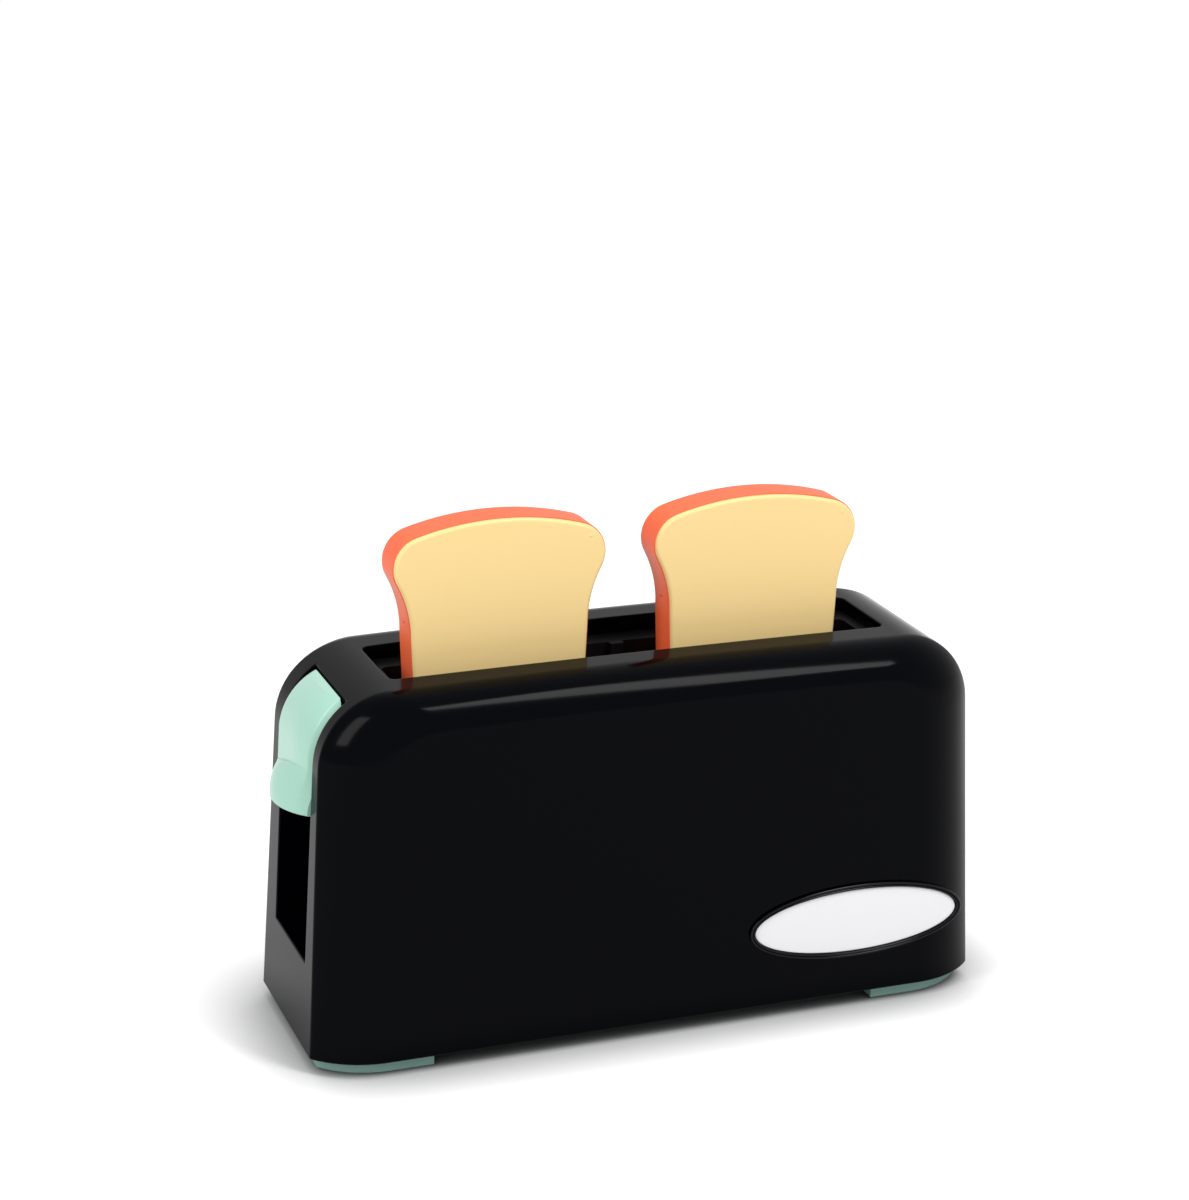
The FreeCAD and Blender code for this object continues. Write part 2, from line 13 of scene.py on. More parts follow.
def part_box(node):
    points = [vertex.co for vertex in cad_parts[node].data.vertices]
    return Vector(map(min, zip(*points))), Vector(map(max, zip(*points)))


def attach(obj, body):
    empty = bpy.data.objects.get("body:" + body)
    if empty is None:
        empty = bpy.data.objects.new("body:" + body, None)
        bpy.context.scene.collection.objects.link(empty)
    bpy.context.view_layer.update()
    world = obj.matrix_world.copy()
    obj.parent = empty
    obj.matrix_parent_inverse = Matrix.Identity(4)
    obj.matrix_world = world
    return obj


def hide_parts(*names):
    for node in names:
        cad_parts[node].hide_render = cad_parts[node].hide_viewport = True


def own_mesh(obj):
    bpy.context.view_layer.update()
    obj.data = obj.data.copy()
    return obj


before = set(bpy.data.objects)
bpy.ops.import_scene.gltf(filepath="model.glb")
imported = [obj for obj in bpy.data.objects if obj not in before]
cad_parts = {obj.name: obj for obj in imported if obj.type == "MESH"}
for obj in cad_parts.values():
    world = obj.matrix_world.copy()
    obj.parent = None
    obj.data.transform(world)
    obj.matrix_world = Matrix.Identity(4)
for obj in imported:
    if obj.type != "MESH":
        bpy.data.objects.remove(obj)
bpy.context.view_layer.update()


# ---------------------------------------------------------------------------------------------
# Studio: a camera a little above the toaster, in front of its lever end, a large soft light
# overhead to the front and another at the lever end. The floor and the surround are seen white,
# and they light the toaster at a plain level.
# ---------------------------------------------------------------------------------------------
camera_place = (-0.28430, -0.71136, 0.37376)
camera_turn = 18.91
camera_dip = 19.56
camera_roll = 0.35
camera_lens = 82.74
camera_sensor = 36.0
camera_shift = (0.0874, 0.0601)
camera_reach = 50.0

lens = bpy.data.cameras.new("studio_camera")
lens.sensor_fit = "VERTICAL"
lens.sensor_height = camera_sensor
lens.lens = camera_lens
lens.shift_x, lens.shift_y = camera_shift
lens.clip_end = camera_reach
camera = bpy.data.objects.new("studio_camera", lens)
camera.matrix_world = (
    Matrix.Translation(camera_place)
    @ Matrix.Rotation(math.radians(-camera_turn), 4, "Z")
    @ Matrix.Rotation(math.radians(90 - camera_dip), 4, "X")
    @ Matrix.Rotation(math.radians(camera_roll), 4, "Z")
)
bpy.context.scene.collection.objects.link(camera)
bpy.context.scene.camera = camera
bpy.context.scene.view_settings.view_transform = "Standard"

surround_light = 0.57


def node_of(tree, kind, **settings):
    """A shader node with its settings and default inputs."""
    node = tree.nodes.new(kind)
    for name, value in settings.items():
        if hasattr(node, name):
            setattr(node, name, value)
        else:
            node.inputs[name.replace("_", " ")].default_value = value
    return node


def seen_rays(tree):
    """A value that is 1 for the rays that show a thing: straight, in a gloss or through clear matter."""
    rays = node_of(tree, "ShaderNodeLightPath")
    last = rays.outputs["Is Camera Ray"]
    for kind in ("Is Glossy Ray", "Is Transmission Ray"):
        either = node_of(tree, "ShaderNodeMath", operation="MAXIMUM")
        tree.links.new(last, either.inputs[0])
        tree.links.new(rays.outputs[kind], either.inputs[1])
        last = either.outputs[0]
    return last


surround = bpy.data.worlds.new("studio_surround")
surround.use_nodes = True
tree = surround.node_tree
tree.nodes["Background"].inputs["Color"].default_value = (1, 1, 1, 1)
white = node_of(tree, "ShaderNodeMapRange", To_Min=surround_light)
tree.links.new(seen_rays(tree), white.inputs["Value"])
tree.links.new(white.outputs["Result"], tree.nodes["Background"].inputs["Strength"])
bpy.context.scene.world = surround

floor_reach = 20.0
floor_colour = (0.72, 0.72, 0.722, 1)
white_near, white_far, white_reach = 0.52, 0.60, 1.3
# Painted contact shade: within this reach an ambient occlusion factor darkens the floor's colour, and raised
# to this power it darkens the floor's glow.
painted_shade_reach, painted_shade_depth = 0.025, 2.0

corners = [(sx * floor_reach, sy * floor_reach, 0) for sx, sy in ((-1, -1), (1, -1), (1, 1), (-1, 1))]
floor_mesh = bpy.data.meshes.new("studio_floor")
floor_mesh.from_pydata(corners, [], [(0, 1, 2, 3)])
floor = bpy.data.objects.new("studio_floor", floor_mesh)
bpy.context.scene.collection.objects.link(floor)

paper = bpy.data.materials.new("studio_paper")
paper.use_nodes = True
tree = paper.node_tree
tree.nodes.clear()
ground = node_of(tree, "ShaderNodeTexCoord")
away = node_of(tree, "ShaderNodeVectorMath", operation="LENGTH")
tree.links.new(ground.outputs["Object"], away.inputs[0])
even = node_of(
    tree, "ShaderNodeMapRange", interpolation_type="SMOOTHSTEP",
    From_Max=white_reach, To_Min=white_near, To_Max=white_far,
)
tree.links.new(away.outputs["Value"], even.inputs["Value"])
# Painted shade: ambient occlusion, raised to a power, darkens the floor's glow near the toaster.
painted_contact_shade = node_of(tree, "ShaderNodeAmbientOcclusion", Distance=painted_shade_reach)
painted_shade_on_glow = node_of(tree, "ShaderNodeMath", operation="POWER")
painted_shade_on_glow.inputs[1].default_value = painted_shade_depth
tree.links.new(painted_contact_shade.outputs["AO"], painted_shade_on_glow.inputs[0])
lift = even.outputs["Result"]
for factor in (painted_shade_on_glow.outputs[0], seen_rays(tree)):
    times = node_of(tree, "ShaderNodeMath", operation="MULTIPLY")
    tree.links.new(lift, times.inputs[0])
    tree.links.new(factor, times.inputs[1])
    lift = times.outputs[0]
glow = node_of(tree, "ShaderNodeEmission")
tree.links.new(lift, glow.inputs["Strength"])
# Painted shade: the floor's colour fades to black where ambient occlusion finds the toaster close.
painted_shade_colour = node_of(tree, "ShaderNodeMix", data_type="RGBA", A=(0, 0, 0, 1), B=floor_colour)
tree.links.new(painted_contact_shade.outputs["AO"], painted_shade_colour.inputs["Factor"])
matt = node_of(tree, "ShaderNodeBsdfDiffuse")
tree.links.new(painted_shade_colour.outputs["Result"], matt.inputs["Color"])
both = node_of(tree, "ShaderNodeAddShader")
tree.links.new(matt.outputs[0], both.inputs[0])
tree.links.new(glow.outputs[0], both.inputs[1])
out = node_of(tree, "ShaderNodeOutputMaterial")
tree.links.new(both.outputs[0], out.inputs["Surface"])
floor_mesh.materials.append(paper)


def softbox(name, place, target, size, radiance):
    """A rectangular soft light, as bright per area as radiance says."""
    light = bpy.data.lights.new(name, "AREA")
    light.shape = "RECTANGLE"
    light.size, light.size_y = size
    light.energy = radiance * math.pi * size[0] * size[1]
    lamp = bpy.data.objects.new(name, light)
    lamp.location = place
    lamp.rotation_euler = (Vector(target) - Vector(place)).to_track_quat("-Z", "Y").to_euler()
    bpy.context.scene.collection.objects.link(lamp)


softbox(
    "light_overhead", place=(0.42, -0.56, 1.00), target=(0.03, -0.02, 0.1), size=(0.25, 0.68), radiance=15.0
)
softbox(
    "light_lever_end", place=(-0.97, -0.38, 0.72), target=(-0.05, 0, 0.1), size=(0.28, 0.76), radiance=8.6
)


# ---------------------------------------------------------------------------------------------
# Base plate: a satin mint moulding that closes the casing from below, with a foot in each corner,
# wells for the casing's screws and a boss for each guide rod. It keeps its solid from the frame.
# ---------------------------------------------------------------------------------------------
drift_scale = 22.0
drift_detail, grain_detail = 3.0, 4.0
plastic_spread = 0.15


def dress(tree, pattern, tones, roughness, spread, relief, height):
    """Ties a finish's tone and gloss to one pattern, and the relief of its surface to another."""
    shader = tree.nodes["Principled BSDF"]
    tone = node_of(tree, "ShaderNodeMix", data_type="RGBA")
    for socket, colour in zip("AB", tones):
        tone.inputs[socket].default_value = [min(1.0, c) for c in colour] + [1]
    tree.links.new(pattern.outputs["Fac"], tone.inputs["Factor"])
    tree.links.new(tone.outputs["Result"], shader.inputs["Base Color"])
    gloss = node_of(
        tree, "ShaderNodeMapRange", To_Min=roughness * (1 - spread), To_Max=roughness * (1 + spread)
    )
    tree.links.new(pattern.outputs["Fac"], gloss.inputs["Value"])
    tree.links.new(gloss.outputs["Result"], shader.inputs["Roughness"])
    bump = node_of(tree, "ShaderNodeBump", Strength=1.0, Distance=height)
    tree.links.new(relief.outputs["Fac"], bump.inputs["Height"])
    tree.links.new(bump.outputs["Normal"], shader.inputs["Normal"])


def plastic(name, colour, roughness, specular, tint=0.03, grain=0.00002, grain_size=0.0012):
    """Moulded plastic: a faint drift of tone, uneven gloss and a fine grain in the surface."""
    finish = bpy.data.materials.new(name)
    finish.use_nodes = True
    tree = finish.node_tree
    tree.nodes["Principled BSDF"].inputs["Specular IOR Level"].default_value = specular
    place = node_of(tree, "ShaderNodeTexCoord")
    drift = node_of(tree, "ShaderNodeTexNoise", Scale=drift_scale, Detail=drift_detail)
    grit = node_of(tree, "ShaderNodeTexNoise", Scale=1 / grain_size, Detail=grain_detail)
    for noise in (drift, grit):
        tree.links.new(place.outputs["Object"], noise.inputs["Vector"])
    tones = [[c * (1 + side * tint) for c in colour] for side in (-1, 1)]
    dress(tree, drift, tones, roughness, plastic_spread, grit, grain)
    return finish


def finish_node(name, material):
    """Gives a solid of the frame its finish."""
    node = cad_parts[name]
    node.data.materials.clear()
    node.data.materials.append(material)


foot_mint = plastic("foot_mint", (0.235, 0.40, 0.35), roughness=0.42, specular=0.35, grain=0.00004)
finish_node("base_plate", foot_mint)


# ---------------------------------------------------------------------------------------------
# Guide rods: two drawn steel rods that stand in the base plate's bosses. Rubber washers at
# their upper ends stop the carriage. Both keep their solids.
# ---------------------------------------------------------------------------------------------
drawn_scale, drawn_detail = 2500.0, 3.0
drawn_shade, drawn_spread, drawn_height = 0.85, 0.3, 0.000005


def steel(name, colour, roughness, lines):
    """Bright metal with fine drawing lines, stretched along the height by the number given."""
    finish = bpy.data.materials.new(name)
    finish.use_nodes = True
    tree = finish.node_tree
    tree.nodes["Principled BSDF"].inputs["Metallic"].default_value = 1.0
    place = node_of(tree, "ShaderNodeTexCoord")
    stretch = node_of(tree, "ShaderNodeMapping", Scale=(1, 1, 1 / lines))
    tree.links.new(place.outputs["Object"], stretch.inputs["Vector"])
    drawn = node_of(tree, "ShaderNodeTexNoise", Scale=drawn_scale, Detail=drawn_detail)
    tree.links.new(stretch.outputs["Vector"], drawn.inputs["Vector"])
    tones = [[c * drawn_shade for c in colour], colour]
    dress(tree, drawn, tones, roughness, drawn_spread, drawn, drawn_height)
    return finish


rod_steel = steel("rod_steel", (0.70, 0.70, 0.72), roughness=0.25, lines=40)
buffer_rubber = plastic(
    "buffer_rubber", (0.022, 0.022, 0.024), roughness=0.75, specular=0.3, grain=0.00005, grain_size=0.0006
)
for side in ("left", "right"):
    finish_node("guide_rod_" + side, rod_steel)
    finish_node("buffer_washer_" + side, buffer_rubber)


# ---------------------------------------------------------------------------------------------
# Springs: round spring wire wound in an open coil round each rod, between the base plate's boss
# and the carriage's sleeve. Each coil is made at one length, though the springs close up as the
# lever goes down.
# ---------------------------------------------------------------------------------------------
mm = 0.001
casing_low, casing_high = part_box("casing")
casing_depth = 71.7
middle_x = (casing_low.x + casing_high.x) / 2
middle_y = casing_high.y - casing_depth / 2 * mm
weld_gap, sliver = 2e-6, 1e-6


def at(x, y, z):
    """A place in the frame for millimetres from the middle of the casing."""
    return Vector((x * mm + middle_x, y * mm + middle_y, z * mm))


def piece(name, points, faces, material, body, replaced, sharp=35.0):
    """A mesh piece from millimetre points: welded, smooth up to the sharp angle and riding on its body."""
    mesh = bpy.data.meshes.new(name)
    mesh.from_pydata([at(*p) for p in points], [], faces)
    work = bmesh.new()
    work.from_mesh(mesh)
    bmesh.ops.remove_doubles(work, verts=work.verts, dist=weld_gap)
    bmesh.ops.dissolve_degenerate(work, edges=work.edges, dist=sliver)
    bmesh.ops.recalc_face_normals(work, faces=work.faces)
    work.to_mesh(mesh)
    work.free()
    mesh.shade_smooth()
    mesh.set_sharp_from_angle(angle=math.radians(sharp))
    mesh.materials.append(material)
    made = bpy.data.objects.new(name, mesh)
    bpy.context.scene.collection.objects.link(made)
    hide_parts(*replaced)
    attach(made, body)
    return made


def add_row(points, places):
    """Adds a row of places and gives back their numbers."""
    first = len(points)
    points.extend(tuple(place) for place in places)
    return list(range(first, len(points)))


def strip(faces, first, second, closed):
    """Quads between two rows of point numbers."""
    count = len(first)
    for k in range(count if closed else count - 1):
        n = (k + 1) % count
        faces.append((first[k], first[n], second[n], second[k]))


def close_rows(faces, rows):
    """Quads from each closed row to the next, and a face over the first and the last."""
    for first, second in zip(rows, rows[1:]):
        strip(faces, first, second, True)
    faces += [tuple(rows[0]), tuple(rows[-1])]


def turns_of(count):
    """Turns that divide a circle."""
    return [2 * math.pi * k / count for k in range(count)]


rod_place = 82.0
spring_foot, spring_head = 12.5, 71.4
spring_gap = 0.05
wire_radius, wire_sides = 0.45, 8
coil_radius, coil_turns, coil_steps = 3.3, 7, 26

spring_steel = steel("spring_steel", (0.56, 0.57, 0.60), roughness=0.3, lines=1)
low, high = spring_foot + wire_radius + spring_gap, spring_head - wire_radius - spring_gap
for side, name in ((-1, "left"), (1, "right")):
    points, faces, rings = [], [], []
    for k in range(coil_turns * coil_steps + 1):
        turn = 2 * math.pi * k / coil_steps
        z = low + (high - low) * k / (coil_turns * coil_steps)
        ring = []
        for around in turns_of(wire_sides):
            reach = coil_radius + wire_radius * math.cos(around)
            rise = wire_radius * math.sin(around)
            ring.append((side * rod_place + reach * math.cos(turn), reach * math.sin(turn), z + rise))
        rings.append(add_row(points, ring))
    close_rows(faces, rings)
    coil = piece(
        "spring_coil_" + name, points, faces, spring_steel, "housing", ["spring_" + name],
        sharp=60,
    )
    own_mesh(coil)


# ---------------------------------------------------------------------------------------------
# Carriage: a satin black beam that the slices stand on, with a sleeve on each rod and a tongue
# that reaches out through the slit to the lever. It keeps its solid.
# ---------------------------------------------------------------------------------------------
inner_black = plastic(
    "inner_black", (0.005, 0.005, 0.006), roughness=0.38, specular=0.12, tint=0.1, grain=0.00003
)
finish_node("carriage", inner_black)


# ---------------------------------------------------------------------------------------------
# Bread well: a satin black frame that hangs under the slot, with the ledge that shows inside the
# slot and the ribs that part the two slices. Four screws hold it to the casing's roof.
# ---------------------------------------------------------------------------------------------
screw_zinc = steel("screw_zinc", (0.62, 0.62, 0.64), roughness=0.35, lines=3)
finish_node("bread_well", inner_black)
finish_node("well_screws", screw_zinc)


# ---------------------------------------------------------------------------------------------
# Casing: one polished black moulding. A flat band runs over both ends and the top, and shoulders
# curve from it to the front and back. It carries the slot's collar, the lever's channel and the
# screw posts. Its skin is made twice, outside and 2 mm further in.
# ---------------------------------------------------------------------------------------------
casing_length = 210.0
toaster_height = 113.8
foot_height = 4.5
casing_wall = 2.0
lean = math.radians(3.0)
side_lean = math.radians(0.5)
band_lean = math.radians(2.0)
crown_radius = 3300.0
band_depth_low = 53.7
band_corner_radius = 22.6
shoulder_drop = 10.7
shoulder_plan_radius = 28.4
face_corner_radius = 15.0
slot_half_length = 76.7
slot_half_depth = 14.6
slot_bulge = 1.2
slot_corner = 2.4
collar_low = 108.8
collar_wall = 1.6
channel_front, channel_back = -17.9, 14.7
channel_floor = 31.0
channel_panel = 90.2
panel_wall = 1.6
slit_front, slit_back = -4.7, 1.5
slit_low, slit_high = 33.8, 85.0
edge_round, edge_steps = 0.45, 4
rim_rise, rim_inset = 0.4, 0.35
rim_from, rim_run, rim_half = 80.0, 22.0, 30.0
crease_run, hold_run = 0.5, 0.5
post_radius, post_bore, post_roof, post_sides = 3.5, 1.3, 1.5, 24
long_posts, long_post_low, long_post_high = (60.0, 26.5), 10.5, 110.3
short_posts, short_post_low, short_post_high = (48.0, 21.5), 99.0, 112.3


def band_profile(end_inset, top_inset, radius):
    """Half outline of a section: a leaning end, a round corner and a long crown over the top."""
    half = casing_length / 2 - end_inset
    along = (-math.sin(lean), math.cos(lean))
    start = (half - radius * math.cos(lean), foot_height - radius * math.sin(lean))
    centre_z = toaster_height - top_inset - crown_radius
    off = (start[0], start[1] - centre_z)
    dot = off[0] * along[0] + off[1] * along[1]
    reach = math.sqrt(dot ** 2 - off[0] ** 2 - off[1] ** 2 + (crown_radius - radius) ** 2) - dot
    corner = (start[0] + reach * along[0], start[1] + reach * along[1])
    crown_turn = math.atan2(corner[1] - centre_z, corner[0])
    return {"half": half, "corner": corner, "radius": radius, "crown_turn": crown_turn, "centre_z": centre_z}


def profile_point(profile, part, share, low):
    """A place on a section's straight end (1), corner (2) or crown (3), with a minus at the lever's end."""
    side = 1 if part > 0 else -1
    corner, radius = profile["corner"], profile["radius"]
    tangent = (corner[0] + radius * math.cos(lean), corner[1] + radius * math.sin(lean))
    if abs(part) == 1:
        z = low + (tangent[1] - low) * share
        return side * (profile["half"] - math.tan(lean) * (z - foot_height)), z
    if abs(part) == 2:
        turn = lean + (profile["crown_turn"] - lean) * share
        return side * (corner[0] + radius * math.cos(turn)), corner[1] + radius * math.sin(turn)
    crown_end = corner[0] + radius * math.cos(profile["crown_turn"])
    x = crown_end * share
    return x, profile["centre_z"] + math.sqrt(crown_radius ** 2 - x ** 2)


def shoulder(turn, inset):
    """The section of the casing's form at one turn of the shoulder, and how deep it lies at a height."""
    share, drop = math.sin(turn), 1 - math.cos(turn)
    band_low, face_low = band_depth_low / 2 - inset, casing_depth / 2 - inset
    width, radius = face_low - band_low, shoulder_plan_radius - inset
    plan_run = math.sqrt(2 * radius * width - width ** 2)
    short_run = math.sqrt(radius ** 2 - (radius - width * (1 - share)) ** 2)
    profile = band_profile(
        inset / math.cos(lean) + plan_run - short_run,
        inset + shoulder_drop * drop,
        band_corner_radius - inset - (band_corner_radius - face_corner_radius) * drop,
    )

    def depth_at(z):
        band = band_low - math.tan(band_lean) * (z - foot_height)
        face = face_low - math.tan(side_lean) * (z - foot_height)
        return band + share * (face - band)

    return profile, depth_at


def slot_edge(kind, value, grow):
    """A place on the slot's outline, grown by a wall: round a corner or along a side."""
    if kind == "corner":
        turn = math.radians(abs(value))
        reach = slot_corner + grow
        x = slot_half_length - slot_corner + reach * math.cos(turn)
        return math.copysign(x, value), slot_half_depth - slot_corner + reach * math.sin(turn)
    flat = slot_half_length - slot_corner
    return value, slot_half_depth + grow + slot_bulge * (1 - (value / flat) ** 2)


# The slot's tip is a turn just off zero, so that its sign still tells the two ends apart.
slot_tip = 0.001
slot_marks = [("corner", -t) for t in (slot_tip, 22, 45, 67, 90)]
slot_marks += [("side", x) for x in (-73, -70, -66, -60, -52, -44, -36, -28, -20, -12, -4)]
slot_marks += [(kind, -value) for kind, value in slot_marks[::-1]]
below_channel, beside_channel, far_heights = (12, 21), (40, 50, 60, 70, 80), (80, 66, 50, 34, 18)
foot_run, floor_run, top_edge_share = 0.5, 1.2, 0.7
corner_steps, mouth_steps, mouth_span, far_steps = 12, 9, 11, 16
shoulder_turns = (2.5, 6, 10, 15, 20, 26, 32, 38, 44, 50, 56, 62, 68, 74, 79, 84, 87.5, 90)
crease_shares = (1 / 3, 2 / 3)
apron_shares = (0.0, 0.05, 0.3, 0.65, 0.94, 1.0)
mouth_shares = (0.03, 0.2, 0.4, 0.6, 0.8, 0.97)
front_line = len(shoulder_turns) + len(crease_shares) + len(apron_shares) - 1
back_line = front_line + len(mouth_shares) + 1


def soft(start, corner, end, share):
    """A place on the curve that rounds a corner off."""
    return start * (1 - share) ** 2 + corner * 2 * share * (1 - share) + end * share ** 2


def casing_columns(band, low, slot_grow, channel_grow, rounding):
    """Columns that follow the band, each with its mouth, and the first and last column of each opening."""
    corner, radius = band["corner"], band["radius"]
    tangent_z = corner[1] + radius * math.sin(lean)
    crown_end = corner[0] + radius * math.cos(band["crown_turn"])
    floor_z = channel_floor - channel_grow - rounding
    top_turn = math.acos((channel_panel - channel_grow - top_edge_share * rounding - corner[0]) / radius)
    top_share = (top_turn - lean) / (band["crown_turn"] - lean)
    wide = (channel_front - channel_grow - rounding, channel_back + channel_grow + rounding)
    narrow = (slot_corner - slot_half_depth, slot_half_depth - slot_corner)
    slot_end = slot_edge("corner", slot_tip, slot_grow + rounding)[0]
    slot_share = (slot_end / crown_end + 1) / 2

    def on_end(side, heights, mouth):
        """Columns at heights on a straight end."""
        return [(side, (z - low) / (tangent_z - low), mouth, None) for z in heights]

    columns = on_end(-1, (low, low + foot_run, *below_channel, floor_z - hold_run), wide)
    opens = {"channel": [len(columns)]}
    columns += on_end(-1, (floor_z, floor_z + floor_run, *beside_channel), wide)
    columns += [(-2, top_share * k / corner_steps, wide, None) for k in range(corner_steps + 1)]
    opens["channel"].append(len(columns) - 1)
    for k in range(1, mouth_steps + 1):
        mouth = tuple(a + (b - a) * k / mouth_span for a, b in zip(wide, narrow))
        columns.append((-2, top_share + (1 - top_share) * k / mouth_steps, mouth, None))
    columns.append((3, -slot_share if slot_end < crown_end else -1, narrow, None))
    opens["slot"] = [len(columns)]
    for mark in slot_marks:
        x, y = slot_edge(*mark, slot_grow + rounding)
        columns.append((3, x / crown_end, (-y, y), mark))
    opens["slot"].append(len(columns) - 1)
    columns.append((3, slot_share, narrow, None))
    columns += [(2, 1 - k / far_steps, narrow, None) for k in range(far_steps + 1)]
    columns += on_end(1, (*far_heights, low + foot_run, low), narrow)
    return columns, opens


def cross_row(column, band, band_depth, turned, low):
    """The places of one column from front to back: shoulder, crease, apron, mouth and back again."""
    part, share, mouth, _ = column
    x, z = profile_point(band, part, share, low)
    edge = band_depth(z)
    inner = edge - crease_run
    front, back = [], []
    for profile, depth_at in turned:
        far_x, far_z = profile_point(profile, part, share, low)
        front.insert(0, Vector((far_x, -depth_at(far_z), far_z)))
        back.append(Vector((far_x, depth_at(far_z), far_z)))
    row = front + [soft(front[-1], Vector((x, -edge, z)), Vector((x, -inner, z)), s) for s in crease_shares]
    row += [Vector((x, -inner + (mouth[0] + inner) * s, z)) for s in apron_shares]
    row += [Vector((x, mouth[0] + (mouth[1] - mouth[0]) * s, z)) for s in mouth_shares]
    row += [Vector((x, mouth[1] + (inner - mouth[1]) * (1 - s), z)) for s in apron_shares[::-1]]
    return row + [soft(Vector((x, inner, z)), Vector((x, edge, z)), back[0], s) for s in crease_shares] + back


def skin(points, faces, inset, low, slot_grow, channel_grow, rounding):
    """One skin of the casing with its two openings, and the numbers of their edges and of its foot."""
    band, band_depth = shoulder(0, inset)
    turned = [shoulder(math.radians(turn), inset) for turn in shoulder_turns]
    columns, opens = casing_columns(band, low, slot_grow, channel_grow, rounding)
    grid = [cross_row(column, band, band_depth, turned, low) for column in columns]
    for first, last in opens.values():
        for row in grid[first + 1:last]:
            row[front_line + 1:back_line] = [None] * len(mouth_shares)
    numbers = []
    for row in grid:
        fresh = iter(add_row(points, [p for p in row if p is not None]))
        numbers.append([None if p is None else next(fresh) for p in row])
    for first, second in zip(numbers, numbers[1:]):
        for j in range(len(first) - 1):
            quad = (first[j], first[j + 1], second[j + 1], second[j])
            if None not in quad:
                faces.append(quad)

    # Each opening's edge, once round: along its front, its last column, its back and its first column.
    loops = {}
    for name, (first, last) in opens.items():
        loops[name] = [(c, front_line) for c in range(first, last + 1)]
        loops[name] += [(last, j) for j in range(front_line + 1, back_line)]
        loops[name] += [(c, back_line) for c in range(last, first - 1, -1)]
        loops[name] += [(first, j) for j in range(back_line - 1, front_line, -1)]

    # The flat front and back faces, inside the shoulders' last rows.
    rim, depth_at = turned[-1]
    flat = band_profile(
        casing_length / 2 - rim["half"] + hold_run,
        toaster_height - crown_radius - rim["centre_z"] + hold_run,
        rim["radius"] - hold_run,
    )
    places = [profile_point(flat, part, share, low) for part, share, _, _ in columns]
    flats = []
    for side, edge in ((-1, [line[0] for line in numbers]), (1, [line[-1] for line in numbers])):
        flats.append(add_row(points, [(x, side * depth_at(z), z) for x, z in places]))
        strip(faces, edge, flats[-1], False)
        faces.append(tuple(flats[-1]))
    front, back = flats
    foot = [front[0]] + numbers[0] + [back[0], back[-1]] + numbers[-1][::-1] + [front[-1]]
    return {"columns": columns, "grid": grid, "numbers": numbers, "loops": loops, "foot": foot, "band": band}


def opening_places(made, name, grow, rounding):
    """For each point on an opening's edge: its number, the true edge, and the wall below the edge."""
    band, loop = made["band"], made["loops"][name]
    first_c, last_c = loop[0][0], max(c for c, _ in loop)
    out = []
    for c, j in loop:
        p = made["grid"][c][j]
        if name == "slot":
            if front_line < j < back_line:
                x, y = math.copysign(slot_half_length + grow, p.x), p.y
            else:
                x, y = slot_edge(*made["columns"][c][3], grow)
                y = math.copysign(y, p.y)
            edge = Vector((x, y, band["centre_z"] + math.sqrt(crown_radius ** 2 - x ** 2)))
            wall = edge - Vector((0, 0, rounding))
        else:
            x, y, z = p.x, min(max(p.y, channel_front - grow), channel_back + grow), p.z
            if c == first_c:
                z = channel_floor - grow
                x = -(band["half"] - math.tan(lean) * (z - foot_height))
            if c == last_c:
                x = -(channel_panel - grow)
                turn = math.acos((-x - band["corner"][0]) / band["radius"])
                z = band["corner"][1] + band["radius"] * math.sin(turn)
            edge = Vector((x, y, z))
            wall = edge - Vector((0, 0, rounding)) if c == last_c else edge + Vector((rounding, 0, 0))
            wall.x = min(wall.x, -(channel_panel - grow))
        out.append((made["numbers"][c][j], edge, wall))
    return out


def soften(points, faces, places):
    """Rounds an opening's edge with a few rows and gives back the last row on its wall."""
    row = [n for n, _, _ in places]
    starts = [Vector(points[n]) for n in row]
    for step in range(1, edge_steps + 1):
        share = step / edge_steps
        fresh = [soft(start, edge, wall, share) for start, (_, edge, wall) in zip(starts, places)]
        fresh = add_row(points, fresh)
        strip(faces, row, fresh, True)
        row = fresh
    return row


def run_wall(points, faces, row, place_of):
    """Carries a closed row on to new places and gives back the new row."""
    fresh = add_row(points, [place_of(Vector(points[n])) for n in row])
    strip(faces, row, fresh, True)
    return fresh


def rim_place(p):
    """The casing's lowest edge, drawn in a little at the ends and along the front and back."""
    in_x = rim_inset * min(1, max(0, (abs(p.x) - rim_from) / rim_run))
    in_y = rim_inset * min(1, abs(p.y) / rim_half)
    return p.x - math.copysign(in_x, p.x), p.y - math.copysign(in_y, p.y), foot_height


def panel(points, faces, row, x):
    """Fills the channel's panel inside its edge, round the slit for the carriage's tongue."""
    corners = ((slit_front, slit_low), (slit_back, slit_low), (slit_back, slit_high), (slit_front, slit_high))
    slit = add_row(points, [(x, y, z) for y, z in corners])
    work = bmesh.new()
    made = {n: work.verts.new(points[n]) for n in row + slit}
    edges = []
    for loop in (row, slit):
        for n, following in zip(loop, loop[1:] + loop[:1]):
            a, b = made[n], made[following]
            if (a.co - b.co).length > sliver and not work.edges.get((a, b)):
                edges.append(work.edges.new((a, b)))
    back = {v: n for n, v in made.items()}
    filled = bmesh.ops.triangle_fill(work, use_beauty=True, use_dissolve=False, edges=edges)
    for face in filled["geom"]:
        if isinstance(face, bmesh.types.BMFace):
            faces.append(tuple(back[v] for v in face.verts))
    work.free()
    return slit


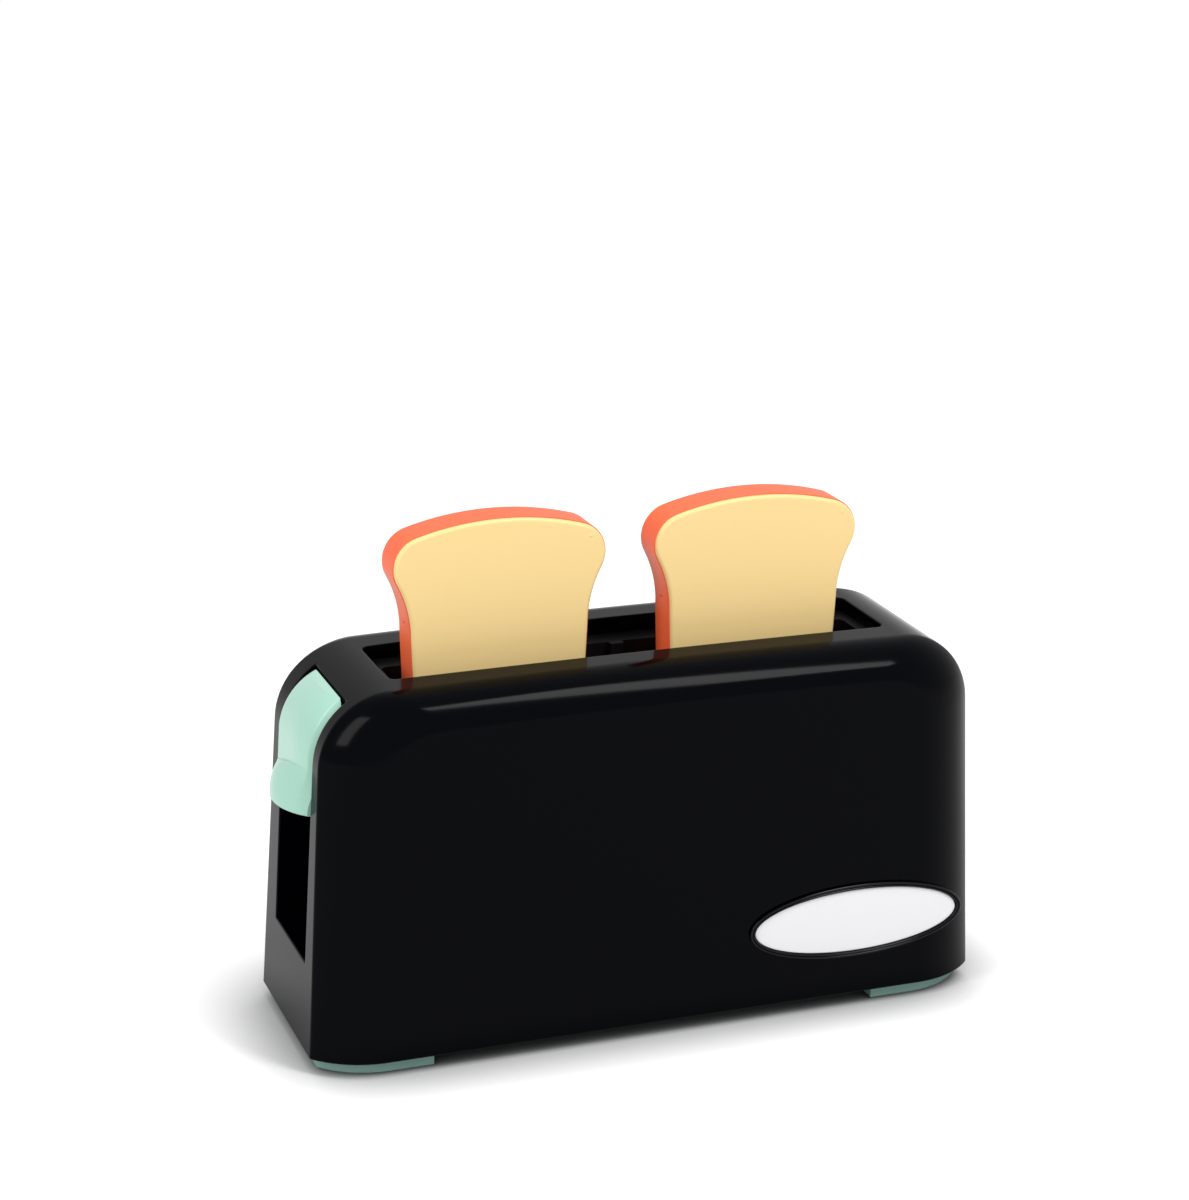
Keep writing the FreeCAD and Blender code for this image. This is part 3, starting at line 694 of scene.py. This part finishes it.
def casing_post(points, faces, x, y, low, high):
    """A screw post: an upright tube with a blind pilot hole."""
    rings = []
    roof = high - post_roof
    for radius, z in ((post_radius, high), (post_radius, low), (post_bore, low), (post_bore, roof)):
        ring = [(x + radius * math.cos(t), y + radius * math.sin(t), z) for t in turns_of(post_sides)]
        rings.append(add_row(points, ring))
    close_rows(faces, rings)


points, faces = [], []
outside = skin(points, faces, 0, foot_height + rim_rise, 0, 0, edge_round)
inside = skin(points, faces, casing_wall, foot_height, collar_wall, panel_wall, 0)

row = soften(points, faces, opening_places(outside, "slot", 0, edge_round))
row = run_wall(points, faces, row, lambda p: (p.x, p.y, collar_low))
collar = [(edge.x, edge.y, collar_low) for _, edge, _ in opening_places(inside, "slot", collar_wall, 0)]
collar = add_row(points, collar)
strip(faces, row, collar, True)
strip(faces, collar, [inside["numbers"][c][j] for c, j in inside["loops"]["slot"]], True)

row = soften(points, faces, opening_places(outside, "channel", 0, edge_round))
row = run_wall(points, faces, row, lambda p: (-channel_panel, p.y, p.z))
front_slit = panel(points, faces, row, -channel_panel)
row = [inside["numbers"][c][j] for c, j in inside["loops"]["channel"]]
row = run_wall(points, faces, row, lambda p: (-channel_panel + panel_wall, p.y, p.z))
back_slit = panel(points, faces, row, -channel_panel + panel_wall)
strip(faces, front_slit, back_slit, True)

row = run_wall(points, faces, outside["foot"], rim_place)
strip(faces, row, inside["foot"], True)

for sx in (-1, 1):
    for sy in (-1, 1):
        casing_post(points, faces, sx * long_posts[0], sy * long_posts[1], long_post_low, long_post_high)
        casing_post(points, faces, sx * short_posts[0], sy * short_posts[1], short_post_low, short_post_high)

casing_black = plastic(
    "casing_black", (0.0003, 0.0005, 0.0014), roughness=0.12, specular=0.04,
    tint=0.15, grain=0.000004, grain_size=0.004,
)
piece("casing_shell", points, faces, casing_black, "housing", ["casing"])


# ---------------------------------------------------------------------------------------------
# Base screws: four zinc-plated screws that go up through the base plate's wells into the
# casing's posts. They keep their solids.
# ---------------------------------------------------------------------------------------------
finish_node("base_screws", screw_zinc)


# ---------------------------------------------------------------------------------------------
# Badge ring: a raised oval rim on the casing's front, part of the same black moulding, with two
# fine beads round its face. It stands further out where the casing curves away behind its right end.
# ---------------------------------------------------------------------------------------------
badge_place_x, badge_place_z = 61.9, 28.7
badge_half_length, badge_half_height = 32.9, 9.9
badge_back, badge_front = -34.95, -36.15
ring_front, ring_width, ring_clearance = -36.65, 1.8, 0.15
ring_bed, ring_root, ring_seat = 0.5, 1.2, 0.02
outer_bead, inner_bead = 0.45, 0.35
ring_beads = (
    (ring_width - outer_bead, outer_bead, range(0, 171, 17)),
    (ring_clearance + inner_bead, inner_bead, range(10, 181, 17)),
)
ring_points = 120


def front_depth(x, z):
    """How far forward the casing's front lies at a place on its straight part."""
    rise = z - foot_height
    width = (casing_depth - band_depth_low) / 2
    plan_run = math.sqrt(2 * shoulder_plan_radius * width - width ** 2)
    run = max(0.0, abs(x) - (casing_length / 2 - plan_run - math.tan(lean) * rise))
    share = 1 - (shoulder_plan_radius - math.sqrt(shoulder_plan_radius ** 2 - run ** 2)) / width
    band = band_depth_low / 2 - math.tan(band_lean) * rise
    face = casing_depth / 2 - math.tan(side_lean) * rise
    return -(band + share * (face - band))


def oval_row(points, grow, depth_of, share=1.0):
    """A closed row on the badge's oval, grown by a distance and taken in to a share, at its own depth."""
    row = []
    for turn in turns_of(ring_points):
        x = badge_place_x + share * (badge_half_length + grow) * math.cos(turn)
        z = badge_place_z + share * (badge_half_height + grow) * math.sin(turn)
        row.append((x, depth_of(x, z), z))
    return add_row(points, row)


points, faces = [], []
rows = [oval_row(points, ring_width - ring_bed, lambda x, z: badge_back + ring_bed)]
rows.append(oval_row(points, ring_width, lambda x, z: front_depth(x, z) + ring_root))
for middle, radius, turns in ring_beads:
    for turn in turns:
        depth = ring_front + radius * (1 - math.sin(math.radians(turn)))
        rows.append(oval_row(points, middle + radius * math.cos(math.radians(turn)), lambda x, z: depth))
rows.append(oval_row(points, ring_clearance, lambda x, z: badge_back + ring_seat))
close_rows(faces, rows)
ring_black = plastic(
    "ring_black", (0.0003, 0.0005, 0.0014), roughness=0.10, specular=0.16, tint=0.15, grain=0.000003
)
piece("badge_ring", points, faces, ring_black, "housing", ["casing"])


# ---------------------------------------------------------------------------------------------
# Badge plate: a bare glossy white oval pressed into the ring, with a softened edge and two pegs
# on its back that go through the casing.
# ---------------------------------------------------------------------------------------------
badge_round, badge_crown, badge_edge = 0.35, 0.12, 0.1
badge_turns, badge_shares = (0, 22.5, 45, 67.5, 90), (0.96, 0.85, 0.7, 0.5, 0.3, 0.12)
peg_radius, peg_spacing, peg_length, peg_root, peg_sides = 1.3, 36.0, 3.0, 0.3, 20

points, faces = [], []
rows = [oval_row(points, 0, lambda x, z: badge_back)]
rows.append(oval_row(points, 0, lambda x, z: badge_front + badge_round + badge_edge))
for turn in badge_turns:
    inset = badge_round * (1 - math.cos(math.radians(turn)))
    depth = badge_front + badge_crown + (badge_round - badge_crown) * (1 - math.sin(math.radians(turn)))
    rows.append(oval_row(points, -inset, lambda x, z: depth))
for share in badge_shares:
    depth = badge_front + badge_crown * share ** 2
    rows.append(oval_row(points, -badge_round, lambda x, z: depth, share))
close_rows(faces, rows)
for side in (-1, 1):
    peg_x = badge_place_x + side * peg_spacing / 2
    rings = []
    for depth in (badge_back - peg_root, badge_back + peg_length):
        ring = [(peg_radius * math.cos(t), peg_radius * math.sin(t)) for t in turns_of(peg_sides)]
        rings.append(add_row(points, [(peg_x + x, depth, badge_place_z + z) for x, z in ring]))
    close_rows(faces, rings)
badge_white = plastic(
    "badge_white", (0.83, 0.83, 0.845), roughness=0.22, specular=0.5, tint=0.012, grain=0.000006
)
piece("badge_oval", points, faces, badge_white, "housing", ["badge_plate"])


# ---------------------------------------------------------------------------------------------
# Lever: a smooth mint cover, crowned and rolled over at its sides, with a bowed lip for the
# thumb. It is a hollow moulding, pushed on to the carriage's tongue by a socket on its back.
# ---------------------------------------------------------------------------------------------
lever_low, lever_high = 75.3, 108.8
lever_middle, lever_half, lever_back = -1.6, 14.8, 91.0
cover_proud, cover_inset, cover_roll, cover_wall = 1.8, 0.5, 3.0, 2.0
back_roll, back_swell = 1.2, 2.2
fold_round, fold_turn, fold_steps, slope_steps = 1.0, 50.0, 6, 4
hollow_roll, hollow_steps = 0.6, 10
across_steps, bend_steps, top_steps = 24, 6, 16
rise_steps, rise_marks = 6, (0.3, 1, 2, 3, 4, 5)
lip_front, lip_bow, lip_height, lip_climb = 108.24, 20.0, 6.8, 6.5
lip_edge, lip_blend = 0.45, 1.0
lip_edge_rows = (0.0, 0.06, 0.15, 0.28)
lip_rows = (0, 0.1, 0.18, 0.26, 0.34, 0.42, 0.5, 0.58, 0.66, 0.73, 0.79, 0.85, 0.9, 0.94, 0.97, 0.99, 1.0)
lip_upright, lip_crown, lip_hook, lip_crease = 0.35, 0.03, 2.4, 0.6
socket_x, socket_y, socket_z, socket_wall = (-98.5, -lever_back), (-5.7, 2.5), (76.8, 86.0), 1.4


def lip_share(share, fade):
    """How much of its reach the lip has at a share of its height: a crease ends it, or it fades out."""
    if share >= 1:
        return 0.0
    faded = (1 - share ** 2) ** 2
    if share <= lip_upright:
        creased = 1 - lip_crown + lip_crown * math.sin(math.pi / 2 * share / lip_upright)
    else:
        creased = (1 - ((share - lip_upright) / (1 - lip_upright)) ** lip_hook) ** lip_crease
    return creased + (faded - creased) * fade


def bend(start, radius, turn, steps):
    """Places on a rounding, each with how far it falls."""
    turns = [math.radians(turn) * k / steps for k in range(steps + 1)]
    return [(start + radius * math.sin(t), radius * (1 - math.cos(t))) for t in turns]


def edge_drops(half, lipped):
    """Places across the cover from front to back, each with how far it falls at the folded or rolled edge."""
    roll = back_roll if lipped else hollow_roll
    if lipped:
        front = bend(half - cover_roll, fold_round, fold_turn, fold_steps)
        (start, fallen), slope = front[-1], math.tan(math.radians(fold_turn))
        runs = [(half - start) * k / slope_steps for k in range(1, slope_steps + 1)]
        front += [(start + run, fallen + run * slope) for run in runs]
    else:
        front = bend(half - roll, roll, 90, hollow_steps)
    back = bend(half - roll, roll, 90, bend_steps)
    low, high = -front[0][0], back[0][0]
    middle = [(low + (high - low) * k / across_steps, 0.0) for k in range(1, across_steps)]
    return [(-u, fall) for u, fall in front[::-1]] + middle + back


def cover_column(u, fall, wall, lipped):
    """One upright row of the cover at a distance from its middle: its front face, lip and rounded top."""
    half = lever_half - wall
    low, high = lever_low + wall, lever_high - wall
    y = lever_middle + u
    drop = (cover_proud + cover_inset) * (u / lever_half) ** 2 - cover_proud + fall + wall
    swell = back_swell * max(0.0, u / lever_half) ** 2 if lipped else 0.0
    profile = band_profile(drop / math.cos(lean), drop, band_corner_radius - drop)
    corner, radius = profile["corner"], profile["radius"]
    straight = corner[1] + radius * math.sin(lean) - low
    fade = (1 - u / half) / 2
    reach = lip_height + lip_climb * math.sin(math.pi / 2 * fade)
    rises = list(lip_edge_rows) + [lip_edge + (reach - lip_edge) * share for share in lip_rows]
    rises += [reach + (straight - reach) * k / rise_steps for k in rise_marks]
    column = [Vector((-lever_back, y, low))]
    for rise in rises:
        x = profile["half"] - math.tan(lean) * (low + rise - foot_height) + swell
        if lipped:
            out = lip_front - lip_bow + math.sqrt(lip_bow ** 2 - u ** 2) - x
            x += lip_share(rise / reach, fade) * (out + math.sqrt(out ** 2 + lip_blend ** 2)) / 2
            x -= lip_edge - math.sqrt(lip_edge ** 2 - max(0.0, lip_edge - rise) ** 2)
        column.append(Vector((-x, y, low + rise)))
    stop = math.asin(min(1.0, (high - corner[1]) / radius))
    stop = min(stop, math.acos(min(1.0, (lever_back - corner[0]) / radius)))
    for k in range(top_steps + 1):
        turn = lean + (stop - lean) * k / top_steps
        reach = radius + swell * (1 - (k / top_steps) ** 2)
        column.append(Vector((-corner[0] - reach * math.cos(turn), y, corner[1] + reach * math.sin(turn))))
    return column + [Vector((-lever_back, y, column[-1].z))]


def cover(points, faces, wall, lipped):
    """The lever's cover, or its hollow when a wall is given, as a grid open to the back."""
    grid = [cover_column(u, fall, wall, lipped) for u, fall in edge_drops(lever_half - wall, lipped)]
    ends = [[Vector((-lever_back, p.y, p.z)) for p in grid[k]] for k in (0, -1)]
    numbers = [add_row(points, column) for column in [ends[0]] + grid + [ends[1]]]
    for first, second in zip(numbers, numbers[1:]):
        strip(faces, first, second, False)
    return numbers


def open_loop(numbers):
    """The open edge of a grid, once round."""
    loop = numbers[0][:]
    loop += [line[-1] for line in numbers[1:-1]]
    loop += numbers[-1][::-1]
    return loop + [line[0] for line in numbers[-2:0:-1]]


def open_box(points, faces, x_range, y_range, z_range, wall):
    """A box with one open end at the greater x, and walls of the thickness given."""
    rings = []
    for inset, x in ((0, x_range[0]), (0, x_range[1]), (wall, x_range[1]), (wall, x_range[0] + wall)):
        y0, y1, z0, z1 = y_range[0] + inset, y_range[1] - inset, z_range[0] + inset, z_range[1] - inset
        rings.append(add_row(points, [(x, y0, z0), (x, y1, z0), (x, y1, z1), (x, y0, z1)]))
    close_rows(faces, rings)


points, faces = [], []
outer = cover(points, faces, 0.0, True)
hollow = cover(points, faces, cover_wall, False)
strip(faces, open_loop(outer), open_loop(hollow), True)
open_box(points, faces, socket_x, socket_y, socket_z, socket_wall)
lever_mint = plastic(
    "lever_mint", (0.375, 0.655, 0.535), roughness=0.27, specular=0.4, tint=0.012, grain=0.000006
)
piece("lever_cover", points, faces, lever_mint, "carriage", ["lever"], sharp=38)


# ---------------------------------------------------------------------------------------------
# Slices of toast: each is an orange frame for the crust, closed by a cream plate on each face.
# The plates' edges are rounded over, and a shallow dimple shows in each side of the crust.
# ---------------------------------------------------------------------------------------------
slice_height, slice_half_width, slice_half_thickness = 69.0, 26.9, 6.5
lobe_radius, lobe_place, lobe_height = 9.6, 22.4, 56.2
neck_radius, neck_gap = 35.0, 0.5
neck_turns = (
    23, 20, 17, 14, 11.5, 9, 7.6, 6.8, 6.3, 5.9, 5.55, 5.2, 4.85, 4.5, 4.15, 3.8, 3.4, 2.9, 2.2, 1.2, 0
)
toast_foot_radius, toast_side_lean = 7.0, 1.2
crest_steps, lobe_steps, side_steps, foot_steps = 14, 19, 7, 12
foot_shares = (0.75, 0.5, 0.25)
crust_wall, crust_edge, seam = 2.2, 0.4, 0.13
crumb_round, crumb_rise, crumb_inset, crumb_flat = 1.0, 1.2, 0.3, 0.35
crumb_turns = (0, 15, 30, 45, 60, 75, 90)
dimple_height, dimple_radius, dimple_depth, dimple_slope = 38.5, 0.85, 0.7, 2.2
dimple_rows = (2.5, 1.1, 0.85, 0.65, 0.45, 0.2)
mark_radius, mark_height, mark_sides = 0.55, 0.14, 14
mark_places = ((27.0, 61.6), (22.2, 5.2))
mark_rows = ((1.0, -0.1), (1.0, 0.0), (0.8, 0.6), (0.4, 0.95))
platform_top = 85.4
slice_places = (("left", -40.9), ("right", 38.1))


def arc(x, z, radius, first, last, steps):
    """Places on an arc from one turn to another, without its first."""
    turns = [first + (last - first) * k / steps for k in range(1, steps + 1)]
    return [(x + radius * math.cos(turn), z + radius * math.sin(turn)) for turn in turns]


def toast_outline(inset):
    """The toast's outline taken in by a distance, once round from the middle of its top."""
    top_drop = slice_height - lobe_height
    crown = (top_drop ** 2 + lobe_place ** 2 - lobe_radius ** 2) / (2 * (top_drop - lobe_radius))
    crown_z = slice_height - crown
    neck_x = slice_half_width + neck_radius
    neck_drop = math.sqrt((lobe_radius + neck_radius) ** 2 - (neck_x - lobe_place) ** 2)
    neck_z = lobe_height - neck_drop
    top_turn = math.atan2(lobe_height - crown_z, lobe_place)
    low_turn = math.atan2(-neck_drop, neck_x - lobe_place)
    right = arc(0, crown_z, crown - inset, math.pi / 2, top_turn, crest_steps)
    right += arc(lobe_place, lobe_height, lobe_radius - inset, top_turn, low_turn, lobe_steps)
    for turn in neck_turns:
        if turn < math.degrees(-low_turn) - neck_gap:
            around = math.pi - math.radians(turn)
            reach = neck_radius + inset
            right.append((neck_x + reach * math.cos(around), neck_z + reach * math.sin(around)))
    side_x, foot_x = slice_half_width - inset, slice_half_width - toast_side_lean - toast_foot_radius
    foot_radius = toast_foot_radius - inset
    for k in range(1, side_steps + 1):
        share = k / side_steps
        x = side_x + (foot_x + foot_radius - side_x) * share
        right.append((x, neck_z + (toast_foot_radius - neck_z) * share))
    right += arc(foot_x, toast_foot_radius, foot_radius, 0, -math.pi / 2, foot_steps)
    right += [(foot_x * share, inset) for share in foot_shares]
    left = [(-x, z) for x, z in right]
    return [(0, slice_height - inset)] + right + [(0, inset)] + left[::-1]


def toast_row(points, place, inset, y, dimpled=False):
    """A closed row of points on the toast's outline."""
    row = []
    for x, z in toast_outline(inset):
        off = math.hypot(y, z - dimple_height) / dimple_radius
        if dimpled and off < 1:
            x -= math.copysign(dimple_depth * min(1, dimple_slope * (1 - off)), x)
        row.append((place + x, y, platform_top + z))
    return add_row(points, row)


def mark_dome(points, faces, x, y, z, side):
    """A tiny round mark that the mould leaves on a crumb face."""
    rings = []
    for share, rise in mark_rows:
        reach, depth = mark_radius * share, y + side * mark_height * rise
        ring = [(x + reach * math.cos(t), depth, z + reach * math.sin(t)) for t in turns_of(mark_sides)]
        rings.append(add_row(points, ring))
    close_rows(faces, rings)


crust_orange = plastic(
    "crust_orange", (0.93, 0.155, 0.056), roughness=0.42, specular=0.15, grain=0.000015, grain_size=0.0009
)
crumb_cream = plastic(
    "crumb_cream", (0.93, 0.685, 0.305), roughness=0.40, specular=0.2,
    tint=0.012, grain=0.000012, grain_size=0.0009,
)
half = slice_half_thickness - crumb_rise
for name, place in slice_places:
    body = "slice_" + name
    points, faces = [], []
    rows = [toast_row(points, place, crust_wall, -half), toast_row(points, place, seam, -half)]
    depths = [-half + seam, -half + crust_edge] + [-depth for depth in dimple_rows]
    for y in depths + [0] + [-depth for depth in depths[::-1]]:
        rows.append(toast_row(points, place, 0, y, True))
    rows += [toast_row(points, place, seam, half), toast_row(points, place, crust_wall, half)]
    for first, second in zip(rows, rows[1:] + rows[:1]):
        strip(faces, first, second, True)
    piece("crust_" + name, points, faces, crust_orange, body, [body + "_crust"])

    for face_name, side in (("front", -1), ("back", 1)):
        points, faces = [], []
        rows = [toast_row(points, place, crumb_inset, side * (half - crust_edge))]
        for turn in crumb_turns:
            inset = crumb_inset + crumb_round * (1 - math.cos(math.radians(turn)))
            y = slice_half_thickness - crumb_round * (1 - math.sin(math.radians(turn)))
            rows.append(toast_row(points, place, inset, side * y))
        inset = crumb_inset + crumb_round + crumb_flat
        rows.append(toast_row(points, place, inset, side * slice_half_thickness))
        close_rows(faces, rows)
        for x, z in mark_places:
            mark_dome(points, faces, place + x, side * slice_half_thickness, platform_top + z, side)
        piece(
            "crumb_" + name + "_" + face_name, points, faces, crumb_cream, body,
            [body + "_crumb_" + face_name], sharp=50,
        )
